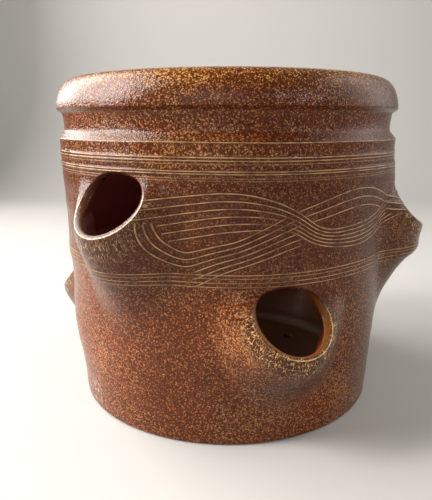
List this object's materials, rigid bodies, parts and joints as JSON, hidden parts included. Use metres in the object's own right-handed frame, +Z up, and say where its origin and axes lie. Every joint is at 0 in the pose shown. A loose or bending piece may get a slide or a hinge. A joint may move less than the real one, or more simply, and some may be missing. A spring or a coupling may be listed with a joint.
{
  "type": "strawberry jar planter",
  "caption": "Salt-glazed stoneware strawberry jar: a thrown round pot with a heavy rim collar, combed wave bands and staggered planting pockets pushed out of its side.",
  "frame": {"origin": "centre of the foot, on the plane that the pot stands on", "axes": "+Z up along the pot's axis; -Y is the front that the picture looks at, and +X is to its right"},
  "size_m": [0.2997, 0.2896, 0.243],
  "materials": {
    "wall_stoneware": "salt-glazed, orange-peel gloss over red-brown clay, combed",
    "rim_stoneware": "salt-glazed, orange-peel gloss, golden on the crown",
    "pocket_stoneware": "salt-glazed, orange-peel gloss, greyer under the lips",
    "floor_stoneware": "salt-glazed edge, smooth dark liner glaze inside, bare clay underneath"
  },
  "bodies": {
    "root": {"floor": "floor_stoneware", "wall": "wall_stoneware", "rim_collar": "rim_stoneware", "pocket_upper_front_left": "pocket_stoneware", "pocket_upper_right": "pocket_stoneware", "pocket_upper_back": "pocket_stoneware", "pocket_lower_front": "pocket_stoneware", "pocket_lower_back": "pocket_stoneware", "pocket_lower_left": "pocket_stoneware"}
  },
  "joints": []
}
